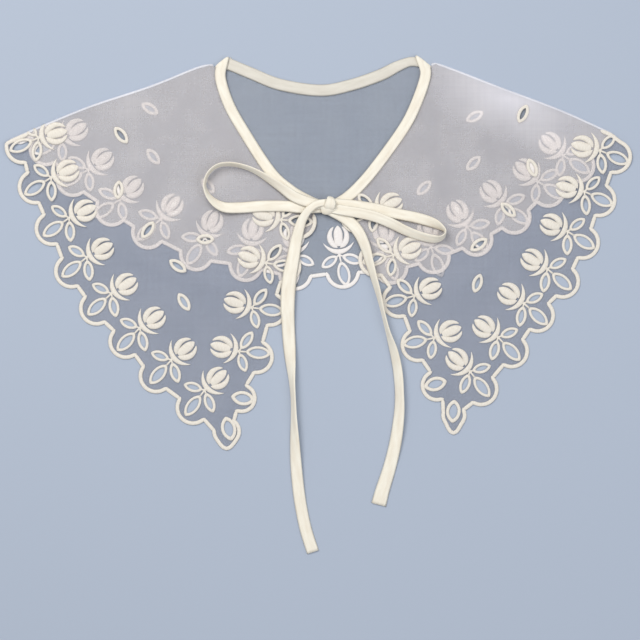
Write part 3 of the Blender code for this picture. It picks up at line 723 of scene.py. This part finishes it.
def finishSurface(material, shader, look, tone, height, strength, distance):
    # the look's two colours by tone, and a relief by height
    first, second = map(colour, look["colours"])
    mix = add(material, "Mix", {"data_type": "RGBA", 6: first, 7: second}, {"Factor": tone})
    bump = add(material, "Bump", {"Strength": strength, "Distance": distance}, {"Height": height})
    join(material, mix.outputs[2], shader.inputs["Base Color"])
    join(material, bump, shader.inputs["Normal"])
    return mix.outputs[2]


def sheerOrganza(name, look):
    # Silk-like organza, plain woven from fine twisted thread: crisp, see-through, with a dry glint.
    material, shader = newMaterial(name, {
        "Roughness": 0.5, "IOR": 1.5, "Specular IOR Level": 0.35,
        "Sheen Weight": 0.35, "Sheen Roughness": 0.4, "Sheen Tint": colour("#EEF0F6")})
    uv = add(material, "UVMap", {"uv_map": "thread"})
    # Thread spacing is about 0.25 mm, far under a pixel here: drawn 1.5 mm apart so that it shows at all.
    weave = []
    for turn in (0, 90):
        ways, wave = threadWaves(material, uv, turn, 1.5, 0.6, 1.0)
        slub = add(material, "Mapping", {"Scale": (0.02, 0.35, 1)}, {"Vector": ways})
        streak = add(material, "TexNoise", {"Scale": 1.0, "Detail": 3.0}, {"Vector": slub})
        weave += [wave, streak.outputs["Fac"]]
    threads = add(material, "Math", {"operation": "ADD"}, {0: weave[0], 1: weave[2]})
    streaks = add(material, "Math", {"operation": "ADD"}, {0: weave[1], 1: weave[3]})
    both = add(material, "Math", {"operation": "MULTIPLY_ADD", 1: look["weave"]}, {0: threads, 2: streaks})
    patch = add(material, "TexNoise", {"Scale": 0.03, "Detail": 2.0}, {"Vector": uv})
    mixed = add(material, "Math", {"operation": "ADD"}, {0: both, 1: patch.outputs["Fac"]})
    alpha = add(material, "MapRange",
                {"From Min": 1.1, "From Max": 2.3, "To Min": look["alpha"][0], "To Max": look["alpha"][1]},
                {"Value": mixed})
    tone = add(material, "MapRange", {"From Min": 0.3, "From Max": 0.7}, {"Value": patch.outputs["Fac"]})
    tint = finishSurface(material, shader, look, tone, threads, 0.12, 0.0002)
    for x, y, heading, halfLength, halfWidth in look.get("paintedSheens", []):
        # painted sheen: a broad pale highlight mixed into the colour where two layers lie close together,
        # near the right fold
        spot = add(material, "Mapping", {
            "vector_type": "TEXTURE", "Location": (x, y, 0), "Rotation": (0, 0, math.radians(heading)),
            "Scale": (halfLength, halfWidth, 1)}, {"Vector": uv})
        fade = add(material, "TexGradient", {"gradient_type": "QUADRATIC_SPHERE"}, {"Vector": spot})
        pale = add(material, "Mix", {"data_type": "RGBA", 7: colour(look["paintedSheen"])},
                   {"Factor": fade.outputs["Fac"], 6: tint})
        tint = pale.outputs[2]
        join(material, tint, shader.inputs["Base Color"])
    join(material, alpha, shader.inputs["Alpha"])
    return material


def satinStitch(name, look):
    # Satin stitch in mercerised cotton: close parallel threads with a soft lustre across them.
    material, shader = newMaterial(name, {
        "Roughness": 0.46, "IOR": 1.5, "Specular IOR Level": 0.4,
        "Sheen Weight": 0.25, "Sheen Roughness": 0.35, "Sheen Tint": colour("#FFF8EA")})
    uv = add(material, "UVMap", {"uv_map": "thread"})
    # Threads lie 0.35 mm apart: drawn 0.8 mm apart so that they show.
    wave = threadWaves(material, uv, 0, 0.8, 0.8, 1.5)[1]
    stretch = add(material, "Mapping", {"Scale": (1.6, 0.25, 1)}, {"Vector": uv})
    fray = add(material, "TexNoise", {"Scale": 1.0, "Detail": 4.0}, {"Vector": stretch})
    tone = add(material, "Math", {"operation": "MULTIPLY_ADD", 1: 0.35}, {0: wave, 2: fray.outputs["Fac"]})
    ramp = add(material, "MapRange", {"From Min": 0.35, "From Max": 1.0}, {"Value": tone})
    finishSurface(material, shader, look, ramp, tone, 0.5, 0.0004)
    return material


def biasTape(name, look):
    # Folded bias tape of soft cotton: matt, with its fine weave running slantwise.
    material, shader = newMaterial(name, {
        "Roughness": 0.68, "IOR": 1.5, "Specular IOR Level": 0.3,
        "Sheen Weight": 0.3, "Sheen Roughness": 0.5, "Sheen Tint": colour("#FFF6E6")})
    uv = add(material, "UVMap", {"uv_map": "thread"})
    # Yarns are 0.3 mm apart: drawn 0.9 mm apart so that they show.
    yarns = [threadWaves(material, uv, turn, 0.9, 0.7, 1.0)[1] for turn in (45, -45)]
    threads = add(material, "Math", {"operation": "ADD"}, {0: yarns[0], 1: yarns[1]})
    stretch = add(material, "Mapping", {"Scale": (0.06, 0.3, 1)}, {"Vector": uv})
    cloud = add(material, "TexNoise", {"Scale": 1.0, "Detail": 4.0}, {"Vector": stretch})
    tone = add(material, "Math", {"operation": "MULTIPLY_ADD", 1: 0.08},
               {0: threads, 2: cloud.outputs["Fac"]})
    ramp = add(material, "MapRange", {"From Min": 0.35, "From Max": 0.8}, {"Value": tone})
    finishSurface(material, shader, look, ramp, threads, 0.25, 0.0003)
    return material


looks = {
    "single": {"alpha": (0.33, 0.41), "weave": 0.1, "colours": ("#7C7F8C", "#8A8D99")},
    # the doubled look carries a painted sheen: a pale highlight spot near the right front's fold
    "doubled": {"alpha": (0.33, 0.42), "weave": 0.1, "colours": ("#BFB9B9", "#CCC6C6"), "paintedSheen": "#FBF6FA",
                "paintedSheens": [(142, 116, -21, 110, 44)]},
    # fold: denser where the cloth turns edgewise, and paler with a painted highlight
    "fold": {"alpha": (0.5, 0.62), "weave": 0.1, "colours": ("#DEDEE4", "#EAEAEF")},
    "back": {"alpha": (0.33, 0.41), "weave": 0.1, "colours": ("#7F848E", "#8C9199")},
    "stitch": {"colours": ("#D9CFC1", "#F6F1E7")},
    "stitchBack": {"colours": ("#E7E0DC", "#F8F4F1")},
    "tape": {"colours": ("#EBE1CF", "#F9F4E6")},
    # the back binding: its wrong side, toned darker with painted shade
    "tapeBackShaded": {"colours": ("#D5CFC3", "#E2DDD2")},
}

singleOrganza = sheerOrganza("sheerOrganza", looks["single"])
doubledOrganza = sheerOrganza("sheerOrganzaDoubled", looks["doubled"])
foldHighlightOrganza = sheerOrganza("sheerOrganzaFoldHighlight", looks["fold"])
backOrganza = sheerOrganza("sheerOrganzaBack", looks["back"])
stitchThread = satinStitch("satinStitch", looks["stitch"])
backThread = satinStitch("satinStitchWrongSide", looks["stitchBack"])
tapeCotton = biasTape("biasTape", looks["tape"])
tapeWrongSideShaded = biasTape("biasTapeWrongSideShaded", looks["tapeBackShaded"])
print("materials ready")


# Cloth and embroidery

def buildPanel(panelName, clothName, node, cut, leadIn, doubled, cutMaterials, thread):
    outline, foldLines, lobes, repeats = cut
    rows = eyelets[panelName]
    fold = panels[panelName]["fold"] if panelName in panels else None
    holes = holesThatFit(outline, allHoles(rows, repeats), fold)
    piece, area = clothPiece(clothName, panelName, (outline, foldLines), holes, doubled)
    piece.visible_shadow = False        # so sheer a cloth hardly dims what lies under it
    for material in cutMaterials:
        piece.data.materials.append(material)
    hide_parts(node)
    stitching = embroider(clothName + "Stitching", panelName, outline, lobes, leadIn, repeats, rows)
    stitching.data.materials.append(thread)
    print(clothName, len(piece.data.polygons), "faces,", len(stitching.data.polygons), "stitched faces")
    return piece, stitching, area * mm * mm


backPattern = backCut()
frontLook = backPattern[0], [singleOrganza, doubledOrganza, foldHighlightOrganza], stitchThread
backCloth, backStitching, backArea = buildPanel(
    "back", "backCloth", "back_panel", backPattern, backFoldEnd[1:], None, [backOrganza], backThread)
leftCloth, leftStitching, leftArea = buildPanel(
    "left", "frontLeftCloth", "front_left", frontCut("left"), panels["left"]["leadIn"], *frontLook)
rightCloth, rightStitching, rightArea = buildPanel(
    "right", "frontRightCloth", "front_right", frontCut("right"), panels["right"]["leadIn"], *frontLook)
print("cloth cut and embroidered", round(backArea, 4), round(leftArea, 4), round(rightArea, 4))


# Tape: the neck binding and the bow

# the tape's ring: its points, how square it is, its groove; and how the tape thins at its ends
tapeForm = {"over": 13, "under": 9, "squareness": 3.0, "grooveWidth": 0.1, "endLength": 1.2,
            "endShare": 0.55}


def bindingPiece(name, node, points, faces, uvs, material=tapeCotton):
    piece = makeMesh(name, points, faces, uvs)
    piece.data.materials.append(material)
    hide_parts(node)
    return piece


def tapePiece(name, node, centres, edges, thickness, groove, depth=tapes["groove"], material=tapeCotton):
    # a soft folded tape; each ring is a puffed flat oval with a shallow line along it
    centres, edges = np.asarray(centres), np.asarray(edges)
    along = headings(centres)
    across = np.linspace(1, -1, tapeForm["over"])
    full = (1 - np.abs(across) ** tapeForm["squareness"]) ** 0.5
    dip = np.exp(-(((across - groove) / tapeForm["grooveWidth"]) ** 2))
    top = full - dip * depth / (thickness / 2) * (np.abs(across) < 0.9)
    under = np.linspace(-1, 1, tapeForm["under"])[1:-1]
    v = np.concatenate([across, under])
    h = np.concatenate([top, -((1 - np.abs(under) ** tapeForm["squareness"]) ** 0.5)])
    up = unit(np.cross(edges, along))
    reach = reachAlong(centres)
    # no stretch is quite as thick as the next
    wobble = 1 + 0.035 * np.sin(reach / 9.0 + len(name)) + 0.02 * np.sin(reach / 3.7)
    ends = np.clip(np.minimum(reach, reach[-1] - reach) / tapeForm["endLength"], 0, 1)
    plump = tapeForm["endShare"] + (1 - tapeForm["endShare"]) * np.sqrt(ends)
    half = np.linalg.norm(edges, axis=1)
    points = (centres[:, None] + edges[:, None] * v[None, :, None]
              + up[:, None] * (h[None] * (thickness / 2 * wobble * plump)[:, None])[..., None])
    size, count = len(v), len(centres)
    faces = tubeFaces(count, size)
    points = points.reshape(-1, 3)
    signed = 0.0
    for face in faces:
        for b, c in zip(face[1:], face[2:]):
            signed += np.dot(points[face[0]], np.cross(points[b], points[c]))
    if signed < 0:
        faces = [face[::-1] for face in faces]
    lengthwise = np.broadcast_to(reach[:, None], (count, size))
    uvs = np.stack([lengthwise, half[:, None] * v[None]], -1).reshape(-1, 2)
    return bindingPiece(name, node, points, faces, uvs, material)


def slantedSide(way, level, along, away):
    # from the slanting edge of the shoulder fold to straight across, at the tape's full width throughout
    side = unit(way + (level - way) * ease(away / tapes["turnLength"]))
    return side / math.sqrt(max(0.3, 1 - np.dot(side, along) ** 2))


def bindingRoute(name):
    # down one side of the neck; at the shoulder the tape turns over and under
    line = smoothLine(necks[name], tapes["step"])
    way = unit(np.array(tapes["shoulderWays"][name]))
    outside = -panels[name]["outside"]
    out = leftOf(way) * outside
    thick = tapes["bindingThickness"]
    low = cloth["layerRise"] + thick / 2
    high = low + tapes["foldRise"]
    turn = (high - thick / 2) / 2
    start = np.linalg.norm(slantedSide(way, way, headings(line)[0], 0))
    spread = max(start, tapes["foldSpread"])
    centres, sides = [], []
    for angle in np.linspace(math.pi, 0, 10)[:-1]:
        spot = line[0] + out * turn * math.sin(angle)
        centres.append((spot[0], spot[1], high - turn + turn * math.cos(angle)))
        sides.append(np.append(way, 0) * spread)
    for p, along in zip(line, headings(line)):
        away = np.linalg.norm(p - line[0])
        side = slantedSide(way, leftOf(along) * outside, along, away)
        centres.append((p[0], p[1], high + (low - high) * ease(away / tapes["fallLength"])))
        sides.append(np.append(side, 0) * (1 + (spread / start - 1) * ease(1 - away / tapes["turnLength"])))
    return np.array(centres), np.array(sides) * tapes["width"] / 2


def backBindingRoute():
    line = smoothLine(necks["back"], tapes["step"])
    sides = leftOf(headings(line))
    for k, (p, along) in enumerate(zip(line, headings(line))):
        end, name = (line[0], "left") if p[0] < 0 else (line[-1], "right")
        way = unit(np.array(tapes["shoulderWays"][name]))
        sides[k] = slantedSide(way, leftOf(along), along, np.linalg.norm(p - end))
    sides *= 1 - tapes["leanShare"] * ease((line[:, :1] - tapes["leanStart"]) / tapes["leanLength"])
    centres = np.column_stack([line, np.full(len(line), tapes["bindingThickness"] / 2)])
    return centres, np.column_stack([sides, np.zeros(len(line))]) * tapes["backWidth"] / 2


def bowRoute(rows):
    # centres and edge vectors of a tape that lies, leans or stands on its edge
    rows = np.array(rows, float)
    angle = np.radians(rows[:, 3])
    rise = 0.5 * rows[:, 4] * np.sin(angle) + 0.5 * tapes["thickness"] * np.abs(np.cos(angle))
    line = smoothLine(np.column_stack([rows[:, :2], rows[:, 2] + rise, rows[:, 3:]]), tapes["step"])
    centres, tilt = line[:, :3], np.radians(np.maximum(0, line[:, 3]))
    along = headings(centres)
    level = unit(np.column_stack([-along[:, 1], along[:, 0], np.zeros(len(along))]))
    edge = level * np.cos(tilt)[:, None] + np.array([0, 0, 1]) * np.sin(tilt)[:, None]
    edge = unit(edge - along * (edge * along).sum(-1)[:, None])
    return centres, edge * line[:, 4:5] / 2


# Bow: x, y, height of what it lies on, tilt from flat, width
bow = {
    "leftLoop": [
        (0.5, 34.8, 3.6, 0, 8.2), (-3.2, 34.5, 3.3, 0, 8.2), (-15, 34.5, 3.2, 0, 8.4),
        (-26, 35.6, 2.7, 0, 8.4), (-43.5, 35.6, 2.6, 0, 8.4), (-60, 34.5, 2.6, 5, 8.4),
        (-72, 35, 2.6, 22, 8.4), (-81, 40.5, 2.6, 52, 8.2), (-86, 49.5, 2.7, 78, 8.2),
        (-84, 59, 2.8, 80, 8.2), (-76.5, 65.6, 2.8, 74, 8.2), (-66, 66.8, 2.7, 71, 8.2),
        (-54, 64, 2.7, 68, 8.2), (-43.2, 58.7, 3, 58, 8.2), (-30.5, 50.4, 3.6, 38, 8.2),
        (-17.8, 41.9, 5, 10, 8.2), (-4.6, 37.4, 5.2, 0, 7.8), (0.5, 36.8, 5.2, 0, 7.4)],
    "rightLoop": [
        (9, 37.8, 3.6, 0, 7.2), (13.8, 37.4, 3.3, 0, 7.8), (26.3, 36, 3.2, 0, 8.2),
        (41.3, 33.8, 2.7, 0, 8.2), (56.3, 30.2, 2.6, 0, 8.2), (71.3, 27.2, 2.6, 4, 8.2),
        (83.3, 23.6, 2.6, 28, 8.2), (90, 20.2, 2.6, 58, 8.2), (93.6, 16.4, 2.6, 88, 8.2),
        (91.6, 12.4, 2.6, 112, 8.2), (85.5, 10.9, 2.6, 132, 8.2), (75, 13.2, 2.6, 140, 8.2),
        (63.8, 17.4, 3.2, 148, 8.2), (52.5, 23, 4.4, 158, 8.2), (41.3, 27.6, 4.8, 166, 8.2),
        (28.5, 30.6, 5, 174, 8), (13.8, 33, 5.2, 180, 7.6), (8.5, 34, 5.2, 180, 7.2)],
    "leftTail": [
        (5, 38.4, 7.2, 0, 5.2), (-2.4, 37, 7.3, 0, 5.4), (-8.2, 32.9, 7, 0, 5.8),
        (-11.9, 27.8, 5.6, 0, 6.4), (-14.6, 22, 4, 0, 7.4), (-17.6, 10.5, 2.7, 0, 8.6),
        (-20.2, -4, 2.6, 0, 9.8), (-22.5, -16, 2.6, 0, 10.6), (-23.8, -28, 2.6, 0, 11),
        (-24.2, -40, 2.6, 0, 10.6), (-23.9, -50, 1.8, 0, 10), (-23.4, -60, 0.6, 4, 9.8),
        (-22.9, -69, 0.05, 12, 9.6), (-22.2, -79, 0.05, 28, 9.2), (-21, -94.5, 0.05, 56, 9),
        (-20, -109.5, 0.05, 64, 9), (-19.5, -124.5, 0.05, 56, 9), (-18.8, -143, 0.05, 34, 9),
        (-17.6, -162, 0.05, 14, 9), (-15, -184.5, 0.05, 2, 9), (-10.9, -205.5, 0.05, 0, 9.1),
        (-5.3, -223.5, 0.05, 0, 9.3)],
    "rightTail": [
        (5.5, 32.8, 4.6, 0, 6.4), (9.6, 31, 3.8, 0, 7.2), (16.5, 27.9, 2.8, 0, 8.4),
        (24, 22.3, 2.6, 4, 8.8), (29.6, 14.8, 2.6, 16, 8.8), (34, 4.6, 2.6, 32, 8.8),
        (36.6, -5, 2.6, 44, 8.8), (39.8, -16.5, 2.6, 54, 8.8), (43.3, -28.5, 2, 62, 8.8),
        (46.8, -42.8, 1.3, 72, 8.8), (50.6, -57.8, 1.3, 68, 8.8), (55.2, -72.8, 0.6, 46, 8.8),
        (58.2, -88, 0.05, 38, 8.8), (59.4, -104, 0.05, 40, 8.8), (59.2, -120, 0.05, 30, 9),
        (56.6, -141, 0.05, 10, 9.2), (52.2, -160, 0.05, 0, 9.8), (47.2, -176, 0.05, 0, 10.6),
        (44, -188, 0.05, 0, 11.4)],
}

thick = tapes["bindingThickness"]
# the back binding takes the darker tape look, its wrong side with painted shade
bindingBack = tapePiece("neckBindingBack", "binding_back", *backBindingRoute(), thick, 0.1,
                        material=tapeWrongSideShaded)
bindingLeft = tapePiece("neckBindingLeft", "binding_left", *bindingRoute("left"), thick, -0.4)
bindingRight = tapePiece("neckBindingRight", "binding_right", *bindingRoute("right"), thick, -0.4)
loopLeft = tapePiece("bowLoopLeft", "bow_loop_left", *bowRoute(bow["leftLoop"]), tapes["thickness"], 0.3)
loopRight = tapePiece("bowLoopRight", "bow_loop_right", *bowRoute(bow["rightLoop"]), tapes["thickness"], 0.3)


def freeTail(name, node, rows, groove):
    centres, edges = bowRoute(rows)
    piece = tapePiece(name, node, centres, edges, tapes["thickness"], groove, tapes["tailGroove"])


freeTail("bowTailLeft", "bow_tail_left", bow["leftTail"], 0.35)
freeTail("bowTailRight", "bow_tail_right", bow["rightTail"], 0.25)


# Knot: a drawn-in lump with a wrap over it
knot = {
    "middle": (*knotMiddle, 4.9), "half": (7.0, 6.0, 3.3), "rings": 28, "sides": 48,
    "wrapThickness": 1.7,
    # wrap over the lump: x, y, height, half width
    "wrap": [(7.8, 41.4, 3.8, 2.2), (7.8, 42.0, 6.2, 2.4), (8.0, 40.6, 8.6, 3.1), (8.0, 38.2, 9.3, 3.9),
             (7.4, 35.6, 9.0, 4.3), (6.6, 33.6, 7.4, 3.9), (6.2, 32.6, 5.2, 3.2)],
}


def knotLump():
    cx, cy, cz = knot["middle"]
    hx, hy, hz = knot["half"]
    points, faces, sides = [(cx, cy, cz - hz)], [], knot["sides"]
    for ring in range(1, knot["rings"]):
        polar = math.pi * ring / knot["rings"]
        for side in range(sides):
            turn = 2 * math.pi * side / sides
            x, y, z = math.sin(polar) * math.cos(turn), math.sin(polar) * math.sin(turn), -math.cos(polar)
            # shallow folds drawn in by the wrap
            pull = 1 - 0.05 * math.sin(7.2 * y + 1.5 * x) - 0.05 * math.cos(5.5 * y - 2.0 * x)
            points.append((cx + hx * x * pull, cy + hy * y * pull, cz + hz * z * pull))
    points.append((cx, cy, cz + hz))
    last = len(points) - 1
    for side in range(sides):
        after = (side + 1) % sides
        faces.append((0, 1 + after, 1 + side))
        for ring in range(knot["rings"] - 2):
            a = 1 + ring * sides
            faces.append((a + side, a + after, a + sides + after, a + sides + side))
        faces.append((last - sides + side, last - sides + after, last))
    uvs = [(p[0] - cx, p[1] - cy) for p in points]
    return bindingPiece("bowKnot", "bow_knot", points, faces, uvs)


def knotWrap():
    rows = smoothLine(knot["wrap"], 0.9)
    centres = rows[:, :3]
    along = headings(centres)
    across = np.array([1.0, -0.2, 0.0])
    side = across - along * (along @ across)[:, None]
    edges = unit(side) * rows[:, 3:4]
    return tapePiece("bowKnotWrap", "bow_knot", centres, edges, knot["wrapThickness"], -0.15, 0.2)


trims = [backStitching, bindingBack, loopLeft, loopRight, knotLump(), knotWrap()]
print("binding and bow tied")

# Stage, light and camera

stage = {
    "floor": "#AEB8C8",
    "floorDrop": 0.2,       # so that nothing lies in the floor's own plane
    "floorHalf": 2400,
    "sky": "#EEF1F6",
    "skyStrength": 0.45,
    "viewWidth": 480,
    "viewMiddle": (0.0, -49.5),
    "cameraHeight": 1500,
    "sensor": 36.0,
    # place and size in metres, power, tint
    "lights": {
        "softKey": ((-0.55, 0.75, 1.5), 1.0, 21.0, (1.0, 0.985, 0.95)),
        "softFill": ((0.9, -0.4, 1.3), 1.2, 7.0, (0.95, 0.97, 1.0)),
    },
}

floorMesh = bpy.data.meshes.new("floor")
reach = stage["floorHalf"] * mm
floorMesh.from_pydata([(-reach, -reach, 0), (reach, -reach, 0), (reach, reach, 0), (-reach, reach, 0)],
                      [], [(0, 1, 2, 3)])
floor = bpy.data.objects.new("floor", floorMesh)
bpy.context.scene.collection.objects.link(floor)
# Plain matt board under the collar.
paleBoard = newMaterial("paleBoard", {"Roughness": 0.9, "Base Color": colour(stage["floor"])})[0]
floorMesh.materials.append(paleBoard)
floor.location.z = -stage["floorDrop"] * mm

for name, (place, size, power, tint) in stage["lights"].items():
    light = bpy.data.lights.new(name, "AREA")
    light.energy, light.size, light.color = power, size, tint
    lamp = bpy.data.objects.new(name, light)
    bpy.context.scene.collection.objects.link(lamp)
    lamp.location = place
    lamp.rotation_euler = (-Vector(place)).to_track_quat("-Z", "Y").to_euler()

world = bpy.data.worlds.new("softStudio")
world.use_nodes = True
sky = world.node_tree.nodes["Background"]
sky.inputs["Color"].default_value = colour(stage["sky"])
sky.inputs["Strength"].default_value = stage["skyStrength"]
bpy.context.scene.world = world

camera = bpy.data.objects.new("camera", bpy.data.cameras.new("camera"))
bpy.context.scene.collection.objects.link(camera)
camera.location = placed((*stage["viewMiddle"], stage["cameraHeight"]))
camera.data.sensor_width = stage["sensor"]
camera.data.lens = stage["sensor"] * stage["cameraHeight"] / stage["viewWidth"]
bpy.context.scene.camera = camera
bpy.context.scene.view_settings.view_transform = "Standard"

print("scene ready")
